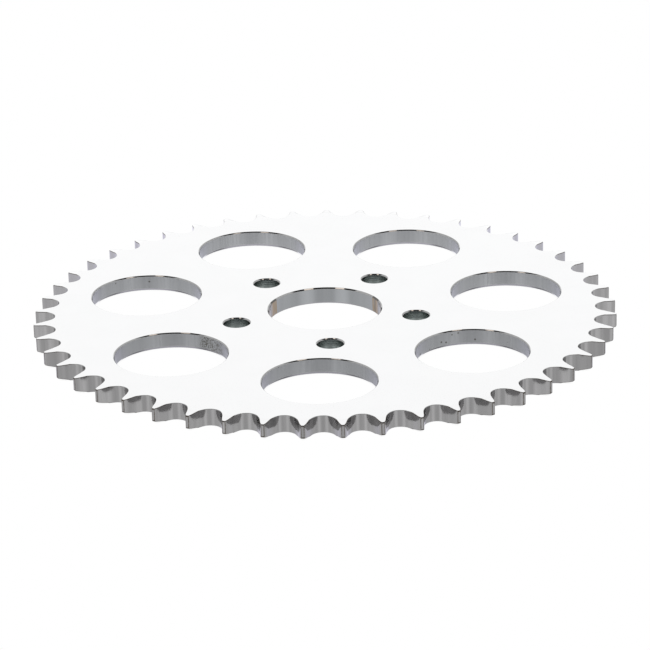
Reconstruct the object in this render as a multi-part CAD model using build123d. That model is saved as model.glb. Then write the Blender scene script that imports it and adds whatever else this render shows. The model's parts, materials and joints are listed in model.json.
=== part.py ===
"""Rear sprocket: a flat steel plate toothed for 5/8 inch pitch roller chain.

The origin is on the bore's axis, half way through the plate, which is the plane the chain runs in.
+Z is the outer side of the plate. One bolt hole and one tooth tip lie on the -Y axis.
Lengths are in millimetres and angles in degrees.
"""
import os
from math import cos, radians, sin, sqrt

from build123d import *

# Chain and teeth
TEETH = 49
PITCH = 15.875
ROLLER_DIAMETER = 10.16
TIP_RADIUS = 128.0
FIRST_TOOTH_ANGLE = -90.0

# Plate
THICKNESS = 7.5
BEVEL_START_RADIUS = 122.3
OUTER_BEVEL_DEPTH = 0.45
INNER_BEVEL_DEPTH = 1.25
RIM_ROUND = 0.4

# Centre bore, a clearance fit over the wheel hub's register
BORE_RADIUS = 24.75
BORE_CHAMFER = 0.55

# Bolt holes, for 7/16 inch bolts on a 3 1/4 inch circle
BOLT_COUNT = 5
BOLT_CIRCLE_RADIUS = 82.55 / 2
BOLT_HOLE_RADIUS = 5.7
BOLT_CHAMFER = 0.5
FIRST_BOLT_ANGLE = -90.0

# Lightening holes
LIGHTENING_COUNT = 7
LIGHTENING_CIRCLE_RADIUS = 82.1
LIGHTENING_RADIUS = 24.25
LIGHTENING_OUTER_CHAMFER = 0.45
LIGHTENING_INNER_CHAMFER = 1.4
FIRST_LIGHTENING_ANGLE = -94.8

# Worked out from the values above
HALF_THICKNESS = THICKNESS / 2
TOOTH_ANGLE = 360 / TEETH
PITCH_RADIUS = PITCH / 2 / sin(radians(TOOTH_ANGLE / 2))


def polar(radius, angle):
    """A flat vector of the given length, at an angle from +X."""
    return Vector(radius * cos(radians(angle)), radius * sin(radians(angle)))


def tip_point(arc_centre, arc_radius):
    """Where an arc meets the tooth's middle line, on the side away from the sprocket's centre."""
    middle = polar(1, 90 - TOOTH_ANGLE / 2)
    along = arc_centre.dot(middle)
    aside = arc_centre.length ** 2 - along ** 2
    return middle * (along + sqrt(arc_radius ** 2 - aside))


def half_gullet():
    """Edges from the gullet's lowest point to one tooth tip, for a gullet centred on +Y.

    This is the standard roller-chain tooth form. The roller rests in a seating arc, then come
    a working arc, a short straight and a topping arc. The names follow the standard's letters.
    """
    roller = Vector(0, PITCH_RADIUS)
    seat_angle = 35 + 60 / TEETH
    working_sweep = 18 - 56 / TEETH
    seat_radius = (1.005 * ROLLER_DIAMETER + 0.0762) / 2
    working_radius = 1.3025 * ROLLER_DIAMETER + 0.0381
    topping_radius = ROLLER_DIAMETER * (
        0.8 * cos(radians(working_sweep)) + 1.4 * cos(radians(17 - 64 / TEETH)) - 1.3025
    ) - 0.0381
    working_centre = roller - polar(0.8 * ROLLER_DIAMETER, -seat_angle)
    topping_centre = roller + polar(1.4 * ROLLER_DIAMETER, -TOOTH_ANGLE / 2)

    flank_angle = working_sweep - seat_angle
    root = roller - Vector(0, seat_radius)
    seat_middle = roller + polar(seat_radius, -(90 + seat_angle) / 2)
    seat_end = roller + polar(seat_radius, -seat_angle)
    working_middle = working_centre + polar(working_radius, flank_angle - working_sweep / 2)
    working_end = working_centre + polar(working_radius, flank_angle)
    topping_start = topping_centre - polar(topping_radius, flank_angle)
    tip = tip_point(topping_centre, topping_radius)
    to_start = topping_start - topping_centre
    to_tip = tip - topping_centre
    topping_middle = topping_centre + (to_start + to_tip).normalized() * topping_radius
    return [
        ThreePointArc(root, seat_middle, seat_end),
        ThreePointArc(seat_end, working_middle, working_end),
        Line(working_end, topping_start),
        ThreePointArc(topping_start, topping_middle, tip),
    ]


def toothed_outline():
    """The closed outline of all the teeth, still running up to sharp tips."""
    right = half_gullet()
    left = [edge.mirror(Plane.YZ) for edge in reversed(right)]
    first_gullet = FIRST_TOOTH_ANGLE - 90 + TOOTH_ANGLE / 2
    edges = []
    for index in range(TEETH):
        turn = first_gullet - index * TOOTH_ANGLE
        edges += [edge.rotate(Axis.Z, turn) for edge in left + right]
    return Wire(edges)


def turned_blank():
    """The disc before its teeth are cut: bevelled on both sides towards a rounded rim."""
    section = Polyline(
        (0, -HALF_THICKNESS),
        (BEVEL_START_RADIUS, -HALF_THICKNESS),
        (TIP_RADIUS, -HALF_THICKNESS + INNER_BEVEL_DEPTH),
        (TIP_RADIUS, HALF_THICKNESS - OUTER_BEVEL_DEPTH),
        (BEVEL_START_RADIUS, HALF_THICKNESS),
        (0, HALF_THICKNESS),
        close=True,
    )
    face = make_face(section)
    rim = face.vertices().group_by(Axis.X)[-1]
    return revolve(Plane.XZ * fillet(rim, RIM_ROUND), Axis.Z)


def hole_cutter(radius, outer_chamfer, inner_chamfer):
    """A cutter for a through hole with a 45 degree chamfer at each face."""
    overshoot = 1.0
    top = HALF_THICKNESS + overshoot
    section = Polyline(
        (0, -top),
        (radius + inner_chamfer + overshoot, -top),
        (radius, inner_chamfer - HALF_THICKNESS),
        (radius, HALF_THICKNESS - outer_chamfer),
        (radius + outer_chamfer + overshoot, top),
        (0, top),
        close=True,
    )
    return revolve(Plane.XZ * make_face(section), Axis.Z)


def ring_of(cutter, count, circle_radius, first_angle):
    """Copies of a cutter, evenly spaced round the bore."""
    return PolarLocations(circle_radius, count, start_angle=first_angle) * cutter


def sprocket_plate():
    """The whole sprocket: blank, teeth, bore, bolt holes and lightening holes."""
    teeth = extrude(make_face(toothed_outline()), HALF_THICKNESS + 1, both=True)
    bore = hole_cutter(BORE_RADIUS, BORE_CHAMFER, BORE_CHAMFER)
    bolt_hole = hole_cutter(BOLT_HOLE_RADIUS, BOLT_CHAMFER, BOLT_CHAMFER)
    window = hole_cutter(LIGHTENING_RADIUS, LIGHTENING_OUTER_CHAMFER, LIGHTENING_INNER_CHAMFER)
    plate = turned_blank() & teeth
    plate -= bore
    plate -= ring_of(bolt_hole, BOLT_COUNT, BOLT_CIRCLE_RADIUS, FIRST_BOLT_ANGLE)
    plate -= ring_of(window, LIGHTENING_COUNT, LIGHTENING_CIRCLE_RADIUS, FIRST_LIGHTENING_ANGLE)
    return plate


os.makedirs("parts", exist_ok=True)
export_step(sprocket_plate(), "parts/sprocket_plate.step")
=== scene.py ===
"""A chrome-plated rear sprocket lying on a pale studio floor.

The sprocket is one solid plate. Its visible surface is built here as a fine mesh on the CAD plate's
own dimensions, with its edges broken slightly, and it replaces the coarser CAD mesh.
Blender's unit is the metre; sizes below are written in millimetres and scaled by MM.
"""
import json
from math import atan2, cos, degrees, hypot, pi, radians, sin, sqrt

import bpy
from mathutils import Matrix, Vector
from mathutils.geometry import delaunay_2d_cdt


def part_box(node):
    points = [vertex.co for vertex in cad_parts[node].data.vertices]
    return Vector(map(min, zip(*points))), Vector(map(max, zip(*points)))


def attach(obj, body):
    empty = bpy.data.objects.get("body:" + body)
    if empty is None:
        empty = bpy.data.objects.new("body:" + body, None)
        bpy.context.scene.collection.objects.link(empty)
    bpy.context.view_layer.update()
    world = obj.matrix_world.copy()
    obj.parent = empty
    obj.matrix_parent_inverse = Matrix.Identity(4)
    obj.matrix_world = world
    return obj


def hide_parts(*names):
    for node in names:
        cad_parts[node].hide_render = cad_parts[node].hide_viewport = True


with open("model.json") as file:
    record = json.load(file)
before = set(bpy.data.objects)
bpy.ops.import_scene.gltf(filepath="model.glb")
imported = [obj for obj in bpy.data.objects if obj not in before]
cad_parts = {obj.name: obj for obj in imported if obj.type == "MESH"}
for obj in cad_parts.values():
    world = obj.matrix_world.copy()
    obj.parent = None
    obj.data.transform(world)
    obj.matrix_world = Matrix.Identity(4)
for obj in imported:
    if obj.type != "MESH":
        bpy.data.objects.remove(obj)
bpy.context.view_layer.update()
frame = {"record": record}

MM = 0.001
NODE = "sprocket_plate"

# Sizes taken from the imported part
low_corner, high_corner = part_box(NODE)
mounts = {mount["name"]: mount for mount in frame["record"]["mounts"]}
HALF_THICKNESS = high_corner.z / MM
TIP_RADIUS = -low_corner.y / MM
BORE_RADIUS = mounts["hub_bore"]["dims"]["r_mm"]
BORE_CHAMFER = HALF_THICKNESS - mounts["hub_bore"]["dims"]["length_mm"] / 2
BOLT_COUNT = mounts["hub_bolts"]["dims"]["count"]
BOLT_CIRCLE_RADIUS = mounts["hub_bolts"]["dims"]["pcd_mm"] / 2
BOLT_HOLE_RADIUS = mounts["hub_bolts"]["dims"]["hole_r_mm"]

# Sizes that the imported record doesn't name
TEETH = 49
PITCH = 15.875
ROLLER_DIAMETER = 10.16
BEVEL_START_RADIUS = 122.3
OUTER_BEVEL_DEPTH = 0.45
INNER_BEVEL_DEPTH = 1.25
RIM_ROUND = 0.4
BOLT_CHAMFER = 0.5
LIGHTENING_COUNT = 7
LIGHTENING_CIRCLE_RADIUS = 82.1
LIGHTENING_RADIUS = 24.25
LIGHTENING_OUTER_CHAMFER = 0.45
LIGHTENING_INNER_CHAMFER = 1.4
FIRST_TOOTH_ANGLE = -90.0
FIRST_BOLT_ANGLE = -90.0
FIRST_LIGHTENING_ANGLE = -94.8
TOOTH_EDGE_ROUND = 0.22
TIP_CORNER_ROUND = 0.2
HOLE_EDGE_ROUND = 0.1

# The two sides of the plate, up and down, and how deep each one's bevel is at the tips
SIDES = ((1, OUTER_BEVEL_DEPTH), (-1, INNER_BEVEL_DEPTH))

TOOTH_ANGLE = 360 / TEETH
PITCH_RADIUS = PITCH / 2 / sin(radians(TOOTH_ANGLE / 2))

# Camera: a long-lens product shot. Angles in degrees and lens in mm; then, in metres, how far the
# lens is from the middle of the plate's top face, and how far that point is off the lens's axis
CAMERA_YAW = -2.755
CAMERA_PITCH = 21.873
CAMERA_ROLL = -1.442
CAMERA_LENS = 180.2
CAMERA_DISTANCE = 1.4323
CENTRE_RIGHT_OF_AXIS = -0.00008
CENTRE_ABOVE_AXIS = 0.00749

# How finely the mesh follows each round
SEATING_ARC_STEPS = 12
WORKING_ARC_STEPS = 5
TOPPING_ARC_STEPS = 9
TIP_STEPS = 6
TOOTH_EDGE_STEPS = 3
HOLE_EDGE_STEPS = 3
LARGE_HOLE_STEPS = 192
BOLT_HOLE_STEPS = 96

# Material slots of the sprocket mesh
FACE, EDGE, TOOTH_WALL, WINDOW_WALL, BORE_WALL, BOLT_WALL = range(6)


# ---------------------------------------------------------------- sprocket mesh


def polar(radius, angle):
    """A flat vector of the given length, at an angle in degrees from +X."""
    return Vector((radius * cos(radians(angle)), radius * sin(radians(angle))))


def arc_points(centre, radius, start, end, steps):
    """Points on an arc, leaving out the last one."""
    return [centre + polar(radius, start + (end - start) * i / steps) for i in range(steps)]


def circle_meets_circle(centre, radius, outer_radius):
    """The angle about centre where its circle meets the circle of outer_radius round the origin."""
    distance = centre.length
    reach = (outer_radius ** 2 - distance ** 2 - radius ** 2) / (2 * distance * radius)
    outward = degrees(atan2(centre.y, centre.x))
    return outward + degrees(atan2(sqrt(1 - reach ** 2), reach))


def rounded_tip_corner(corner, before):
    """Three points that round off the corner between a tooth's flank and its tip."""
    on_flank = corner + (before - corner).normalized() * TIP_CORNER_ROUND
    corner_angle = degrees(atan2(corner.y, corner.x))
    on_tip = polar(TIP_RADIUS, corner_angle - degrees(TIP_CORNER_ROUND / TIP_RADIUS))
    return [on_flank, (on_flank + corner * 2 + on_tip) / 4, on_tip]


def half_gullet():
    """Outline points from a gullet's lowest point to the corner of the tooth tip on its right.

    The gullet is centred on +Y. The form is the standard one for roller chain: seating arc,
    working arc, straight and topping arc.
    """
    roller = Vector((0, PITCH_RADIUS))
    seat_angle = 35 + 60 / TEETH
    working_sweep = 18 - 56 / TEETH
    flank_angle = working_sweep - seat_angle
    seat_radius = (1.005 * ROLLER_DIAMETER + 0.0762) / 2
    working_radius = 1.3025 * ROLLER_DIAMETER + 0.0381
    topping_radius = ROLLER_DIAMETER * (
        0.8 * cos(radians(working_sweep)) + 1.4 * cos(radians(17 - 64 / TEETH)) - 1.3025
    ) - 0.0381
    working_centre = roller - polar(0.8 * ROLLER_DIAMETER, -seat_angle)
    topping_centre = roller + polar(1.4 * ROLLER_DIAMETER, -TOOTH_ANGLE / 2)
    working_end = working_centre + polar(working_radius, flank_angle)
    topping_start = topping_centre - polar(topping_radius, flank_angle)
    tip_angle = circle_meets_circle(topping_centre, topping_radius, TIP_RADIUS)
    points = arc_points(roller, seat_radius, -90, -seat_angle, SEATING_ARC_STEPS)
    points += arc_points(working_centre, working_radius, -seat_angle, flank_angle, WORKING_ARC_STEPS)
    points += [working_end, working_end.lerp(topping_start, 0.5)]
    points += arc_points(
        topping_centre, topping_radius, 180 + flank_angle, tip_angle, TOPPING_ARC_STEPS
    )
    return points + rounded_tip_corner(topping_centre + polar(topping_radius, tip_angle), points[-1])


def tooth_outline():
    """The closed tooth outline, counter-clockwise, and how many points one tooth takes in it."""
    right_to_left = half_gullet()[::-1]
    gullet = right_to_left + [Vector((-p.x, p.y)) for p in right_to_left[-2::-1]]
    corner = gullet[0]
    corner_angle = degrees(atan2(corner.y, corner.x))
    next_corner_angle = 90 - TOOTH_ANGLE + (90 - corner_angle)
    land = arc_points(Vector((0, 0)), TIP_RADIUS, next_corner_angle, corner_angle, TIP_STEPS)
    sector = land + gullet[:-1]
    first_gullet = FIRST_TOOTH_ANGLE + TOOTH_ANGLE / 2
    outline = []
    for index in range(TEETH):
        turn = Matrix.Rotation(radians(first_gullet - 90 + index * TOOTH_ANGLE), 2)
        outline += [turn @ p for p in sector]
    return outline, len(sector)


def inset(outline, distance):
    """The outline moved inwards by a distance, each corner along its own bisector."""
    least_opening = 0.3  # keeps the sharpest corners from moving too far
    moved = []
    count = len(outline)
    for index, point in enumerate(outline):
        before = (point - outline[index - 1]).normalized()
        after = (outline[(index + 1) % count] - point).normalized()
        bisector = Vector((-(before + after).y, (before + after).x)).normalized()
        inward_before = Vector((-before.y, before.x))
        opening = max(bisector.dot(inward_before), least_opening)
        moved.append(point + bisector * (distance / opening))
    return moved


def rim_height(radius, bevel_depth):
    """Height of the plate's face above its middle plane: flat, then bevelled, then rounded."""
    run = TIP_RADIUS - BEVEL_START_RADIUS
    slope = bevel_depth / run
    height = HALF_THICKNESS - max(radius - BEVEL_START_RADIUS, 0) * slope
    into_round = min(max(radius - (TIP_RADIUS - RIM_ROUND), 0), RIM_ROUND)
    return height - (RIM_ROUND - sqrt(RIM_ROUND ** 2 - into_round ** 2))


def quarter_round():
    """(inset, drop) pairs round a tooth's broken edge, from the wall to the face."""
    pairs = []
    for step in range(TOOTH_EDGE_STEPS + 1):
        turn = pi / 2 * step / TOOTH_EDGE_STEPS
        pairs.append((TOOTH_EDGE_ROUND * (1 - cos(turn)), TOOTH_EDGE_ROUND * (1 - sin(turn))))
    return pairs


def rounded_section(corners):
    """A hole's section with each inner corner replaced by a small round."""
    points = [corners[0]]
    for before, corner, after in zip(corners, corners[1:], corners[2:]):
        to_before = (before - corner).normalized()
        to_after = (after - corner).normalized()
        for step in range(HOLE_EDGE_STEPS + 1):
            share = step / HOLE_EDGE_STEPS
            pull_in = HOLE_EDGE_ROUND * (1 - share) ** 2
            pull_out = HOLE_EDGE_ROUND * share ** 2
            points.append(corner + to_before * pull_in + to_after * pull_out)
    points.append(corners[-1])
    return points


def hole_section(radius, outer_chamfer, inner_chamfer):
    """(radius, height) points of a hole's wall, from the outer face down to the inner face."""
    top = HALF_THICKNESS
    flat = 3 * HOLE_EDGE_ROUND  # a narrow ring of face round each hole
    corners = [
        Vector((radius + outer_chamfer + flat, top)),
        Vector((radius + outer_chamfer, top)),
        Vector((radius, top - outer_chamfer)),
        Vector((radius, inner_chamfer - top)),
        Vector((radius + inner_chamfer, -top)),
        Vector((radius + inner_chamfer + flat, -top)),
    ]
    return rounded_section(corners)


class PlateMesh:
    """Collects the sprocket's vertices and faces in millimetres."""

    def __init__(self):
        self.points = []
        self.faces = []
        self.slots = []

    def ring(self, outline, heights):
        """Adds a closed ring of points and returns their indices."""
        first = len(self.points)
        self.points += [(p.x, p.y, z) for p, z in zip(outline, heights)]
        return list(range(first, len(self.points)))

    def face(self, indices, slot):
        """Adds one face in a material slot."""
        self.faces.append(indices)
        self.slots.append(slot)

    def strip(self, upper, lower, *slots):
        """Quads between two counter-clockwise rings of equal length, using the slots in turn."""
        for i in range(len(upper)):
            j = (i + 1) % len(upper)
            self.face((upper[i], lower[i], lower[j], upper[j]), slots[i % len(slots)])

    def fill(self, loops, slot, facing_up):
        """Triangles over a flat region; the first loop is its outside and the rest are holes."""
        joined_within = 1e-7
        ids = [i for loop in loops for i in loop]
        loop_of = [number for number, loop in enumerate(loops) for _ in loop]
        flat = [Vector(self.points[i][:2]) for i in ids]
        edges = []
        start = 0
        for loop in loops:
            edges += [(start + k, start + (k + 1) % len(loop)) for k in range(len(loop))]
            start += len(loop)
        triangles, sources = delaunay_2d_cdt(flat, edges, [], 1, joined_within)[2:4]
        for triangle in triangles:
            corners = [sources[k][0] for k in triangle]
            owners = {loop_of[k] for k in corners}
            if len(owners) == 1 and owners != {0}:
                continue
            corners = [ids[k] for k in corners]
            self.face(corners if facing_up else corners[::-1], slot)


def add_hole(plate, centre, section, steps, slot):
    """Adds one hole's wall and chamfers and returns its rings on the two faces."""
    rings = []
    for radius, height in section:
        circle = [centre + polar(radius, 360 * k / steps) for k in range(steps)]
        rings.append(plate.ring(circle, [height] * steps))
    last_strip = len(rings) - 2
    wall_strip = last_strip // 2
    for index in range(len(rings) - 1):
        if index in (0, last_strip):
            strip_slot = FACE
        elif index == wall_strip:
            strip_slot = slot
        else:
            strip_slot = EDGE
        plate.strip(rings[index + 1], rings[index], strip_slot)
    return rings[0], rings[-1]


def add_tooth_tops(plate, ring, sector, side):
    """Fills one side of every tooth in rows of equal radius, and returns the flat region's outline.

    ring is the innermost ring of the tooth outline on this side; side is 1 above and -1 below.
    """
    flat_outline = []
    count = len(ring)
    radii = [hypot(*plate.points[i][:2]) for i in ring]
    first_row = next(k for k in range(sector) if radii[TIP_STEPS + k] < BEVEL_START_RADIUS) - 1
    for start in range(0, count, sector):
        row = [ring[start + k] for k in range(TIP_STEPS + 1)]
        for step in range(1, first_row + 1):
            left = ring[(start + TIP_STEPS + step) % count]
            right = ring[(start - step) % count]
            x_left, y_left, height = plate.points[left]
            x_right, y_right, _ = plate.points[right]
            radius = hypot(x_left, y_left)
            angle_right = degrees(atan2(y_right, x_right))
            sweep = (degrees(atan2(y_left, x_left)) - angle_right) % 360
            if step == first_row:
                height = side * HALF_THICKNESS
                for end in (left, right):
                    plate.points[end] = (*plate.points[end][:2], height)
            inner = []
            for k in range(1, TIP_STEPS):
                point = polar(radius, angle_right + sweep * k / TIP_STEPS)
                plate.points.append((point.x, point.y, height))
                inner.append(len(plate.points) - 1)
            next_row = [right] + inner + [left]
            for a, b, c, d in zip(row, row[1:], next_row[1:], next_row):
                quad = (d, a, b, c) if side > 0 else (c, b, a, d)
                plate.face(quad, FACE)
            row = next_row
        flat_outline += row
        gullet_start = start + TIP_STEPS + first_row + 1
        gullet_end = start + sector - first_row
        flat_outline += [ring[k % count] for k in range(gullet_start, gullet_end)]
    return flat_outline


def add_rim(plate, outline, sector):
    """Adds the tooth walls and their broken edges, and returns the innermost ring on each side."""
    outer_rings = {}
    inner_rings = {}
    for side, bevel_depth in SIDES:
        rings = []
        for distance, drop in quarter_round():
            moved = inset(outline, distance) if distance else outline
            heights = [side * (rim_height(p.length, bevel_depth) - drop) for p in moved]
            rings.append(plate.ring(moved, heights))
        for outer, inner in zip(rings, rings[1:]):
            upper, lower = (inner, outer) if side > 0 else (outer, inner)
            plate.strip(upper, lower, EDGE)
        outer_rings[side] = rings[0]
        inner_rings[side] = rings[-1]
    tip = [TOOTH_WALL] * TIP_STEPS
    rounded_corner = [EDGE] * 2
    flanks = [TOOTH_WALL] * (sector - len(tip) - 2 * len(rounded_corner))
    slots = tip + rounded_corner + flanks + rounded_corner
    plate.strip(outer_rings[1], outer_rings[-1], *slots)
    return inner_rings


def add_holes(plate):
    """Adds the bore, the bolt holes and the lightening holes, and returns each one's two rings."""
    bore_section = hole_section(BORE_RADIUS, BORE_CHAMFER, BORE_CHAMFER)
    holes = [add_hole(plate, Vector((0, 0)), bore_section, LARGE_HOLE_STEPS, BORE_WALL)]
    bolt_section = hole_section(BOLT_HOLE_RADIUS, BOLT_CHAMFER, BOLT_CHAMFER)
    for index in range(BOLT_COUNT):
        centre = polar(BOLT_CIRCLE_RADIUS, FIRST_BOLT_ANGLE + 360 * index / BOLT_COUNT)
        holes.append(add_hole(plate, centre, bolt_section, BOLT_HOLE_STEPS, BOLT_WALL))
    window_section = hole_section(
        LIGHTENING_RADIUS, LIGHTENING_OUTER_CHAMFER, LIGHTENING_INNER_CHAMFER
    )
    for index in range(LIGHTENING_COUNT):
        centre = polar(
            LIGHTENING_CIRCLE_RADIUS, FIRST_LIGHTENING_ANGLE + 360 * index / LIGHTENING_COUNT
        )
        holes.append(add_hole(plate, centre, window_section, LARGE_HOLE_STEPS, WINDOW_WALL))
    return holes


def build_plate():
    """The whole sprocket plate as one closed mesh object."""
    plate = PlateMesh()
    outline, sector = tooth_outline()
    rim_rings = add_rim(plate, outline, sector)
    holes = add_holes(plate)
    for side, _ in SIDES:
        outside = add_tooth_tops(plate, rim_rings[side], sector, side)
        hole_loops = [upper if side > 0 else lower for upper, lower in holes]
        plate.fill([outside] + hole_loops, FACE, side > 0)

    mesh = bpy.data.meshes.new("chromed_sprocket_plate")
    mesh.from_pydata([(x * MM, y * MM, z * MM) for x, y, z in plate.points], [], plate.faces)
    mesh.polygons.foreach_set("material_index", plate.slots)
    mesh.polygons.foreach_set("use_smooth", [True] * len(plate.faces))
    mesh.update()
    sprocket = bpy.data.objects.new("chromed_sprocket_plate", mesh)
    bpy.context.scene.collection.objects.link(sprocket)
    weighted = sprocket.modifiers.new("flat faces stay flat", "WEIGHTED_NORMAL")
    weighted.weight = 50
    return sprocket


sprocket = build_plate()
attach(sprocket, "root")
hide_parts(NODE)


# ---------------------------------------------------------------- node helpers


class Graph:
    """A short way to write shader nodes."""

    def __init__(self, tree):
        self.tree = tree
        tree.nodes.clear()

    def add(self, kind, inputs=None, **settings):
        """A new node, its inputs set to values or linked to other nodes' outputs."""
        node = self.tree.nodes.new("ShaderNode" + kind)
        for name, value in settings.items():
            setattr(node, name, value)
        for name, value in (inputs or {}).items():
            if isinstance(value, bpy.types.NodeSocket):
                self.tree.links.new(value, node.inputs[name])
            else:
                node.inputs[name].default_value = value
        return node

    def math(self, operation, first, second=0.0):
        return self.add("Math", {0: first, 1: second}, operation=operation).outputs[0]

    def step(self, value, low, high, low_result=0.0, high_result=1.0):
        """A smooth change from low_result to high_result as value goes from low to high."""
        return self.map_range(value, low, high, low_result, high_result, "SMOOTHSTEP")

    def map_range(self, value, low, high, low_result, high_result, interpolation="LINEAR"):
        inputs = {
            "Value": value,
            "From Min": low,
            "From Max": high,
            "To Min": low_result,
            "To Max": high_result,
        }
        return self.add("MapRange", inputs, interpolation_type=interpolation).outputs["Result"]

    def varied(self, value, base, contrast, low=0.35, high=0.65):
        """A base colour that gets darker and lighter by a contrast as a noise value changes."""
        dark = shaded(base, 1 - contrast)
        light = shaded(base, 1 + contrast)
        return self.mix(self.step(value, low, high), dark, light)

    def mix(self, factor, first, second):
        inputs = {0: factor, 6: first, 7: second}
        return self.add("Mix", inputs, data_type="RGBA").outputs[2]

    def ramp(self, value, stops):
        """A grey or coloured ramp through (position, colour) stops."""
        node = self.add("ValToRGB", {"Fac": value})
        elements = node.color_ramp.elements
        elements[0].position, elements[1].position = stops[0][0], stops[-1][0]
        for position, _ in stops[1:-1]:
            elements.new(position)
        for element, (_, colour) in zip(elements, stops):
            element.color = colour if len(colour) == 4 else (*colour, 1)
        return node.outputs["Color"]

    def noise(self, vector, scale, detail=2.0, roughness=0.5):
        inputs = {"Vector": vector, "Scale": scale, "Detail": detail, "Roughness": roughness}
        return self.add("TexNoise", inputs).outputs["Fac"]

    def near(self, position, centre, inner, outer):
        """1 within an inner distance of a point on the middle plane, fading to 0 at an outer one."""
        middle = (centre.x * MM, centre.y * MM, 0)
        away = self.add("VectorMath", {0: position, 1: middle}, operation="DISTANCE").outputs["Value"]
        return self.step(away, inner * MM, outer * MM, 1.0, 0.0)

    def along(self, vector, direction):
        """How far a vector reaches in a direction."""
        node = self.add("VectorMath", {0: vector, 1: direction}, operation="DOT_PRODUCT")
        return node.outputs["Value"]

    def stretched(self, vector, scale):
        return self.add("Mapping", {"Vector": vector, "Scale": scale}).outputs["Vector"]


def grey(level):
    return (level, level, level, 1)


def shaded(colour, factor=1.0):
    """A colour as Blender wants it, made lighter or darker by a factor."""
    return tuple(min(part * factor, 1.0) for part in colour) + (1,)


# ---------------------------------------------------------------- chrome materials

# How much the plating reflects: polished face, its edges, and the duller walls cut by each tool,
# with painted shade on the tooth edges and painted light on the far teeth; then the colours of the
# stains, the dull plating beside them and the pits
CHROME = (0.640, 0.642, 0.645)
EDGE_CHROME = (0.500, 0.500, 0.500)
# painted shade: the dark brown line on the teeth's broken edges
TIP_EDGE_PAINTED_SHADE = (0.110, 0.095, 0.080)
TOOTH_CHROME = (0.371, 0.367, 0.370)
# painted light: the far teeth's walls made lighter and bluer
BACK_TOOTH_PAINTED_LIGHT = (0.425, 0.420, 0.452)
WINDOW_CHROME = (0.355, 0.364, 0.378)
BORE_CHROME = (0.336, 0.348, 0.361)
BOLT_CHROME = (0.232, 0.262, 0.254)
STAIN = (0.302, 0.218, 0.121)
DULL = (0.235, 0.228, 0.215)
PIT = (0.120, 0.115, 0.105)

# The bore's two tan stains and the duller plating beyond them, as angles round the bore; then the
# lightening hole with a speckled patch on its wall and the one with lone pits
STAIN_ANGLES = (22.0, 153.0)
STAIN_HALF_WIDTH = 7.5
DULL_BEYOND_ANGLES = (14.0, 161.0)
PATCH_WINDOW_ANGLE = FIRST_LIGHTENING_ANGLE - 360 / LIGHTENING_COUNT
PATCH_WALL_ANGLE = 41.0
PATCH_RADIUS = 9.0
PITTED_WINDOW_ANGLE = FIRST_LIGHTENING_ANGLE + 360 / LIGHTENING_COUNT


def chrome(name, look):
    """A chrome plating material.

    look(graph, position) returns its colour, its roughness, its bumps' height and their depth in mm.
    """
    material = bpy.data.materials.new(name)
    material.use_nodes = True
    graph = Graph(material.node_tree)
    position = graph.add("TexCoord").outputs["Object"]
    colour, roughness, height, depth = look(graph, position)
    bump = graph.add("Bump", {"Height": height, "Strength": 1.0, "Distance": depth * MM})
    shader = graph.add(
        "BsdfPrincipled",
        {
            "Base Color": colour,
            "Metallic": 1.0,
            "Roughness": roughness,
            "Normal": bump.outputs["Normal"],
        },
    )
    graph.add("OutputMaterial", {"Surface": shader.outputs["BSDF"]})
    return material


def polished_face(graph, position):
    """Polished before plating: a mirror with a slow ripple and faint hairline scratches."""
    smoothest, roughest = 0.035, 0.07
    hairline_share = 0.06
    depth = 0.0012
    ripple = graph.noise(position, scale=220, detail=1.0)
    haze = graph.noise(position, scale=60, detail=3.0)
    hairlines = graph.noise(graph.stretched(position, (40, 2600, 1)), scale=1.0, detail=2.0)
    roughness = graph.step(haze, 0.3, 0.7, smoothest, roughest)
    height = graph.math("ADD", ripple, graph.math("MULTIPLY", hairlines, hairline_share))
    colour = graph.mix(graph.step(haze, 0.35, 0.65), shaded(CHROME), shaded(CHROME, 0.99))
    return colour, roughness, height, depth


def angle_band(graph, angle, centre, half_width):
    """1 within a half width of an angle, in degrees, fading out at its edges."""
    away = graph.math("ABSOLUTE", graph.math("SUBTRACT", angle, centre))
    return graph.step(away, 0.7 * half_width, half_width, 1.0, 0.0)


def bore_stains(graph, angle):
    """1 in the bore's two stains."""
    right, left = [angle_band(graph, angle, centre, STAIN_HALF_WIDTH) for centre in STAIN_ANGLES]
    return graph.math("ADD", right, left)


def angle_round_axis(graph, position):
    """The angle round the sprocket's axis, in degrees from +X."""
    axes = graph.add("SeparateXYZ", {"Vector": position})
    return graph.math("MULTIPLY", graph.math("ARCTAN2", axes.outputs["Y"], axes.outputs["X"]), 180 / pi)


def rounded_edge(graph, position):
    """Chamfers and broken edges: buffed unevenly, with painted shade along the teeth's edges, and dark
    at the bore's stains.
    """
    smoothest, roughest = 0.03, 0.055
    depth = 0.003
    buffing = graph.noise(position, scale=900, detail=2.0)
    bright = graph.varied(buffing, EDGE_CHROME, 0.06, 0.3, 0.7)
    radius = graph.add("VectorMath", {0: position}, operation="LENGTH").outputs["Value"]
    on_tooth = graph.step(radius, (BEVEL_START_RADIUS - 2) * MM, (BEVEL_START_RADIUS + 1) * MM)
    # painted shade: a dark brown line on the teeth's broken edges, standing in for the dark room they
    # mirror
    painted_edge_shade = graph.math("MULTIPLY", on_tooth, graph.step(buffing, 0.25, 0.6, 0.65, 1.0))
    colour = graph.mix(painted_edge_shade, bright, shaded(TIP_EDGE_PAINTED_SHADE))
    stained = bore_stains(graph, angle_round_axis(graph, position))
    on_bore = graph.step(radius, (BORE_RADIUS + 1) * MM, (BORE_RADIUS + 3) * MM, 0.85, 0.0)
    colour = graph.mix(graph.math("MULTIPLY", stained, on_bore), colour, shaded(PIT))
    return colour, graph.step(buffing, 0.3, 0.7, smoothest, roughest), buffing, depth


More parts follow.
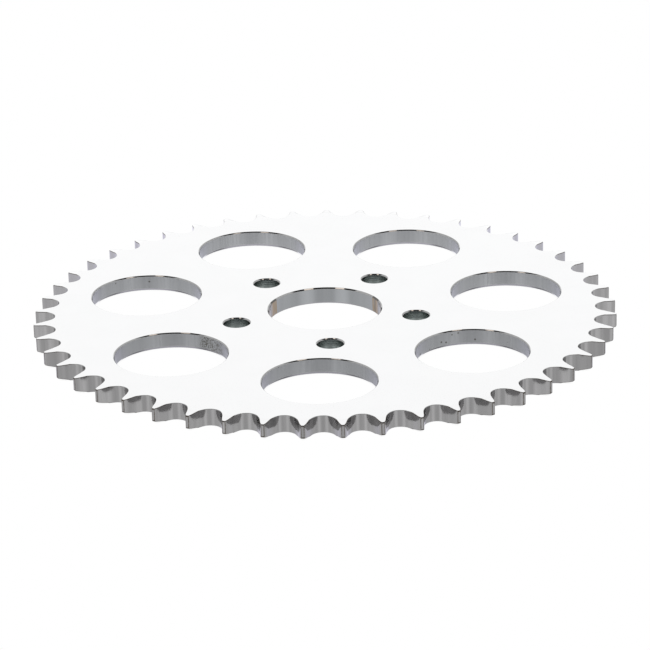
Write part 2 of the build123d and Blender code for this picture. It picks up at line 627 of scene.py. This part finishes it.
def streaked_wall(graph, position, base, spacing, contrast, roughness):
    """Cutter marks that run through the plate's thickness, spaced in mm, dulled by the plating."""
    fine_share = 0.15
    along_z = graph.stretched(position, (1, 1, 0.03))
    broad = graph.noise(along_z, scale=1 / (spacing * MM), detail=1.0)
    fine = graph.noise(along_z, scale=5 / (spacing * MM), detail=3.0)
    height = graph.math("ADD", broad, graph.math("MULTIPLY", fine, fine_share))
    colour = graph.varied(broad, base, contrast)
    return colour, graph.step(fine, 0.3, 0.7, 0.8 * roughness, 1.2 * roughness), height


def tooth_wall(graph, position):
    """Hobbed gullet walls: bands left by the cutter, dimples, and painted light that makes the walls
    brighter and bluer towards +Y.
    """
    depth = 0.008
    colour, roughness, height = streaked_wall(
        graph, position, TOOTH_CHROME, spacing=1.6, contrast=0.05, roughness=0.13
    )
    along_y = graph.add("SeparateXYZ", {"Vector": position}).outputs["Y"]
    # painted light: the tooth walls made lighter and bluer towards the back
    painted_back_light = graph.step(along_y, 10 * MM, 70 * MM, 0.0, 0.85)
    colour = graph.mix(painted_back_light, colour, shaded(BACK_TOOTH_PAINTED_LIGHT))
    dimples = graph.noise(position, scale=800, detail=2.0)
    return colour, roughness, graph.math("ADD", height, dimples), depth


def speckled_patch(graph, position):
    """Close specks on one part of one lightening hole's wall."""
    window = polar(LIGHTENING_CIRCLE_RADIUS, PATCH_WINDOW_ANGLE)
    centre = window + polar(LIGHTENING_RADIUS, PATCH_WALL_ANGLE)
    patch = graph.near(position, centre, 0.6 * PATCH_RADIUS, PATCH_RADIUS)
    specks = graph.step(graph.noise(position, scale=1700, detail=2.0, roughness=0.6), 0.48, 0.55)
    return graph.math("MULTIPLY", patch, specks)


def lone_pits(graph, position):
    """Single round pits: many in one lightening hole and hardly any in the others."""
    pit_size = 0.17  # as a share of the cell that it lies in
    cells_left_clean = 0.985
    cells_left_clean_in_pitted = 0.35
    window = polar(LIGHTENING_CIRCLE_RADIUS, PITTED_WINDOW_ANGLE)
    in_pitted = graph.near(position, window, LIGHTENING_RADIUS + 2, LIGHTENING_RADIUS + 4)
    clean = graph.step(in_pitted, 0, 1, cells_left_clean, cells_left_clean_in_pitted)
    cell = graph.add("TexVoronoi", {"Vector": position, "Scale": 390.0})
    chance = graph.add("SeparateXYZ", {"Vector": cell.outputs["Color"]}).outputs["X"]
    has_pit = graph.math("GREATER_THAN", chance, clean)
    in_pit = graph.math("LESS_THAN", cell.outputs["Distance"], pit_size)
    return graph.math("MULTIPLY", in_pit, has_pit)


def window_wall(graph, position):
    """Lightening holes: an even satin cut with a few pits."""
    depth = 0.002
    pit_strength = 0.9
    colour, roughness, height = streaked_wall(
        graph, position, WINDOW_CHROME, spacing=4.0, contrast=0.012, roughness=0.34
    )
    pits = graph.math("MAXIMUM", speckled_patch(graph, position), lone_pits(graph, position))
    colour = graph.mix(graph.math("MULTIPLY", pits, pit_strength), colour, shaded(PIT))
    return colour, roughness, graph.math("SUBTRACT", height, pits), depth


def bore_wall(graph, position):
    """The bore: turned, with a tan stain near each side and duller plating beyond the stains."""
    depth = 0.008
    dull_fade = 4
    line_half_width = 1.6
    line_strength = 0.6
    colour, roughness, height = streaked_wall(
        graph, position, BORE_CHROME, spacing=3.0, contrast=0.02, roughness=0.13
    )
    angle = angle_round_axis(graph, position)
    right, left = DULL_BEYOND_ANGLES
    dull_right = graph.step(angle, right, right + dull_fade, 0.7, 0.0)
    dull_left = graph.step(angle, left - dull_fade, left, 0.0, 1.0)
    colour = graph.mix(graph.math("ADD", dull_right, dull_left), colour, shaded(DULL))
    blotches = graph.noise(graph.stretched(position, (1, 1, 0.2)), scale=700)
    patchy = graph.step(blotches, 0.3, 0.6, 0.45, 0.9)
    colour = graph.mix(graph.math("MULTIPLY", bore_stains(graph, angle), patchy), colour, shaded(STAIN))
    dark_line = angle_band(graph, angle, STAIN_ANGLES[0] + 1, line_half_width)
    colour = graph.mix(graph.math("MULTIPLY", dark_line, line_strength), colour, shaded(PIT))
    return colour, roughness, height, depth


def bolt_wall(graph, position):
    """Drilled bolt holes: thinner, greener plating over rings left by the drill."""
    smoothest, roughest = 0.22, 0.34
    depth = 0.06
    round_hole = graph.stretched(position, (0.05, 0.05, 1))
    rings = graph.noise(round_hole, scale=1400, detail=2.0)
    patches = graph.noise(position, scale=500)
    colour = graph.varied(patches, BOLT_CHROME, 0.1)
    return colour, graph.step(rings, 0.3, 0.7, smoothest, roughest), rings, depth


LOOKS = {
    FACE: ("chrome_polished_face", polished_face),
    EDGE: ("chrome_rounded_edge", rounded_edge),
    TOOTH_WALL: ("chrome_tooth_wall", tooth_wall),
    WINDOW_WALL: ("chrome_lightening_hole_wall", window_wall),
    BORE_WALL: ("chrome_bore_wall", bore_wall),
    BOLT_WALL: ("chrome_bolt_hole_wall", bolt_wall),
}
for material_slot in sorted(LOOKS):
    sprocket.data.materials.append(chrome(*LOOKS[material_slot]))


# ---------------------------------------------------------------- studio

# The level direction from the sprocket to the camera
FACING_CAMERA = Vector((sin(radians(CAMERA_YAW)), -cos(radians(CAMERA_YAW)), 0))

# The studio around the sprocket is a light that depends on two angles in degrees: the elevation
# above the horizon, and how far a direction is turned aside from the camera's, 180 being behind.


def elevation_and_aside(graph):
    """The two angles of a direction in the studio."""
    direction = graph.add("TexCoord").outputs["Generated"]
    height = graph.add("SeparateXYZ", {"Vector": direction}).outputs["Z"]
    elevation = graph.math("ARCSINE", height)
    towards = graph.along(direction, FACING_CAMERA)
    level_part = graph.math("MAXIMUM", graph.math("COSINE", elevation), 0.001)
    aside = graph.math("ARCCOSINE", graph.math("DIVIDE", towards, level_part))
    in_degrees = 180 / pi
    return graph.math("MULTIPLY", elevation, in_degrees), graph.math("MULTIPLY", aside, in_degrees)


def bands_of_light(graph, elevation):
    """Light by elevation: darkest below, a grey floor, then bright walls and a pale top."""
    brightest = 1.5
    bands = [
        (-90, 0.43),
        (-55, 0.43),
        (-36, 0.72),
        (-8, 0.72),
        (2, 0.95),
        (12, 1.42),
        (60, 1.42),
        (90, 1.30),
    ]
    stops = [((angle + 90) / 180, grey(level / brightest)) for angle, level in bands]
    share = graph.math("DIVIDE", graph.math("ADD", elevation, 90), 180)
    return graph.math("MULTIPLY", graph.ramp(share, stops), brightest)


def floor_gain(graph, elevation, aside):
    """Gain below the horizon: a pool of light to each side of the camera, and lighter behind."""
    below = graph.step(elevation, -12, -2, 1.0, 0.0)
    from_pool = graph.math("ABSOLUTE", graph.math("SUBTRACT", aside, 36))
    pool = graph.step(from_pool, 2, 24, 0.36, 0.0)
    sides = graph.step(aside, 30, 90, 0.0, 0.14)
    behind = graph.step(aside, 140, 165, 0.0, 0.10)
    extra = graph.math("ADD", pool, graph.math("ADD", sides, behind))
    return graph.math("ADD", 1.0, graph.math("MULTIPLY", below, extra))


def low_strip_gain(graph, elevation, aside):
    """Gain in a darker strip low behind the sprocket, which the holes' lower chamfers mirror."""
    above_lower_edge = graph.step(elevation, -62, -46)
    below_upper_edge = graph.step(elevation, -33, -26, 1.0, 0.0)
    strip = graph.math("MULTIPLY", above_lower_edge, below_upper_edge)
    strip = graph.math("MULTIPLY", strip, graph.step(aside, 142, 158))
    return graph.step(strip, 0.0, 1.0, 1.0, 0.35)


def wall_gain(graph, elevation, aside):
    """Gain on the walls: full straight behind, half at the sides and less again in front."""
    backdrop = graph.step(aside, 146, 162, 0.5, 1.0)
    dimmer_front = graph.step(aside, 40, 90, 0.7, 1.0)
    above_floor = graph.step(elevation, -4, 8)
    below_top = graph.step(elevation, 50, 80, 1.0, 0.0)
    on_wall = graph.math("MULTIPLY", above_floor, below_top)
    return graph.step(on_wall, 0.0, 1.0, 1.0, graph.math("MULTIPLY", backdrop, dimmer_front))


def ceiling_gain(graph, elevation, aside):
    """Gain on the dark ceiling in front, whose edge climbs from 20 to 49 degrees towards the sides."""
    edge = graph.step(aside, 30, 80, 20, 49)
    past_edge = graph.step(graph.math("SUBTRACT", elevation, edge), 0, 4)
    not_overhead = graph.step(elevation, 76, 82, 1.0, 0.0)
    not_behind = graph.step(aside, 112, 124, 1.0, 0.0)
    ceiling = graph.math("MULTIPLY", past_edge, graph.math("MULTIPLY", not_overhead, not_behind))
    return graph.step(ceiling, 0.0, 1.0, 1.0, 0.012)


def floor_tint(graph, elevation, aside):
    """A cool tint on the floor behind the sprocket."""
    neutral = (1, 1, 1, 1)
    cool = (0.99, 0.98, 1.085, 1)
    behind = graph.step(aside, 95, 150)
    below = graph.step(elevation, -8, 6, 1.0, 0.0)
    return graph.mix(graph.math("MULTIPLY", behind, below), neutral, cool)


def studio_world():
    """What the chrome mirrors: pale walls, a grey floor and a dark ceiling in front."""
    world = bpy.data.worlds.new("studio")
    world.use_nodes = True
    graph = Graph(world.node_tree)
    elevation, aside = elevation_and_aside(graph)
    light = bands_of_light(graph, elevation)
    for gain in (floor_gain, low_strip_gain, wall_gain, ceiling_gain):
        light = graph.math("MULTIPLY", light, gain(graph, elevation, aside))
    tint = floor_tint(graph, elevation, aside)
    studio = graph.add("Background", {"Color": tint, "Strength": light})
    white = graph.add("Background", {"Color": (1, 1, 1, 1), "Strength": 1.0})
    seen = graph.add("LightPath").outputs["Is Camera Ray"]
    both = graph.add("MixShader", {0: seen, 1: studio.outputs[0], 2: white.outputs[0]})
    graph.add("OutputWorld", {"Surface": both.outputs[0]})
    bpy.context.scene.world = world


def softbox(name, side):
    """One of two warm soft lights high in front of the sprocket, to its left or right."""
    from_camera_line = 52
    elevation = 64
    distance = 1.5
    size = 0.33
    radiance = 1.45
    level = polar(cos(radians(elevation)), -90 + CAMERA_YAW + side * from_camera_line)
    aim = Vector((level.x, level.y, sin(radians(elevation))))
    data = bpy.data.lights.new(name, "AREA")
    data.shape = "DISK"
    data.size = size
    data.energy = radiance * pi * pi * (size / 2) ** 2
    data.color = (1.0, 0.88, 0.78)
    light = bpy.data.objects.new(name, data)
    light.location = aim * distance
    light.rotation_mode = "QUATERNION"
    light.rotation_quaternion = aim.to_track_quat("Z", "Y")
    light.visible_camera = False
    bpy.context.scene.collection.objects.link(light)


def table_top(graph):
    """The floor as the camera sees it: evenly lit, with a soft contact shade under the plate."""
    reach = 0.008
    shade = graph.add("AmbientOcclusion", {"Distance": reach}, samples=16).outputs["AO"]
    tone = graph.ramp(shade, [(0.0, grey(0.86)), (0.25, grey(0.97)), (0.4, grey(1.0))])
    return graph.add("Emission", {"Color": tone, "Strength": 1.0})


def mirrored_floor(graph, position):
    """The floor as the chrome mirrors it: the studio's floor, brighter towards the back."""
    front, back = -0.05, 0.11
    brightest = 1.26
    depth = graph.along(position, -FACING_CAMERA)
    glow = graph.map_range(depth, front, back, 1.0, brightest)
    return graph.add("BsdfTransparent", {"Color": glow})


def floor_material():
    """A pale floor that can't be seen from below."""
    material = bpy.data.materials.new("pale_floor")
    material.use_nodes = True
    graph = Graph(material.node_tree)
    geometry = graph.add("NewGeometry")
    lit = table_top(graph)
    mirrored = mirrored_floor(graph, geometry.outputs["Position"])
    in_mirror = graph.add("LightPath").outputs["Is Glossy Ray"]
    above = graph.add("MixShader", {0: in_mirror, 1: lit.outputs[0], 2: mirrored.outputs[0]})
    clear = graph.add("BsdfTransparent")
    under = geometry.outputs["Backfacing"]
    both = graph.add("MixShader", {0: under, 1: above.outputs[0], 2: clear.outputs[0]})
    graph.add("OutputMaterial", {"Surface": both.outputs[0]})
    return material


def floor():
    """A wide level sheet that touches the underside of the plate."""
    half_width = 6.0
    corner_signs = ((-1, -1), (1, -1), (1, 1), (-1, 1))
    corners = [(x * half_width, y * half_width, low_corner.z) for x, y in corner_signs]
    mesh = bpy.data.meshes.new("floor")
    mesh.from_pydata(corners, [], [(0, 1, 2, 3)])
    mesh.materials.append(floor_material())
    table = bpy.data.objects.new("floor", mesh)
    bpy.context.scene.collection.objects.link(table)


def camera():
    """A long lens, looking slightly down at the sprocket from its front."""
    data = bpy.data.cameras.new("camera")
    data.lens = CAMERA_LENS
    data.clip_start = 0.05
    data.clip_end = 20
    turn = Matrix.Rotation(radians(CAMERA_YAW), 3, "Z")
    turn @= Matrix.Rotation(radians(90 - CAMERA_PITCH), 3, "X")
    turn @= Matrix.Rotation(radians(CAMERA_ROLL), 3, "Z")
    right, above, back = turn.col
    lens = bpy.data.objects.new("camera", data)
    lens.rotation_mode = "QUATERNION"
    lens.rotation_quaternion = turn.to_quaternion()
    top_centre = Vector((0, 0, high_corner.z))
    lens.location = (
        top_centre
        + back * CAMERA_DISTANCE
        - right * CENTRE_RIGHT_OF_AXIS
        - above * CENTRE_ABOVE_AXIS
    )
    bpy.context.scene.collection.objects.link(lens)
    bpy.context.scene.camera = lens


studio_world()
softbox("softbox_left", -1)
softbox("softbox_right", 1)
floor()
camera()
bpy.context.scene.view_settings.view_transform = "Standard"

bpy.context.view_layer.update()
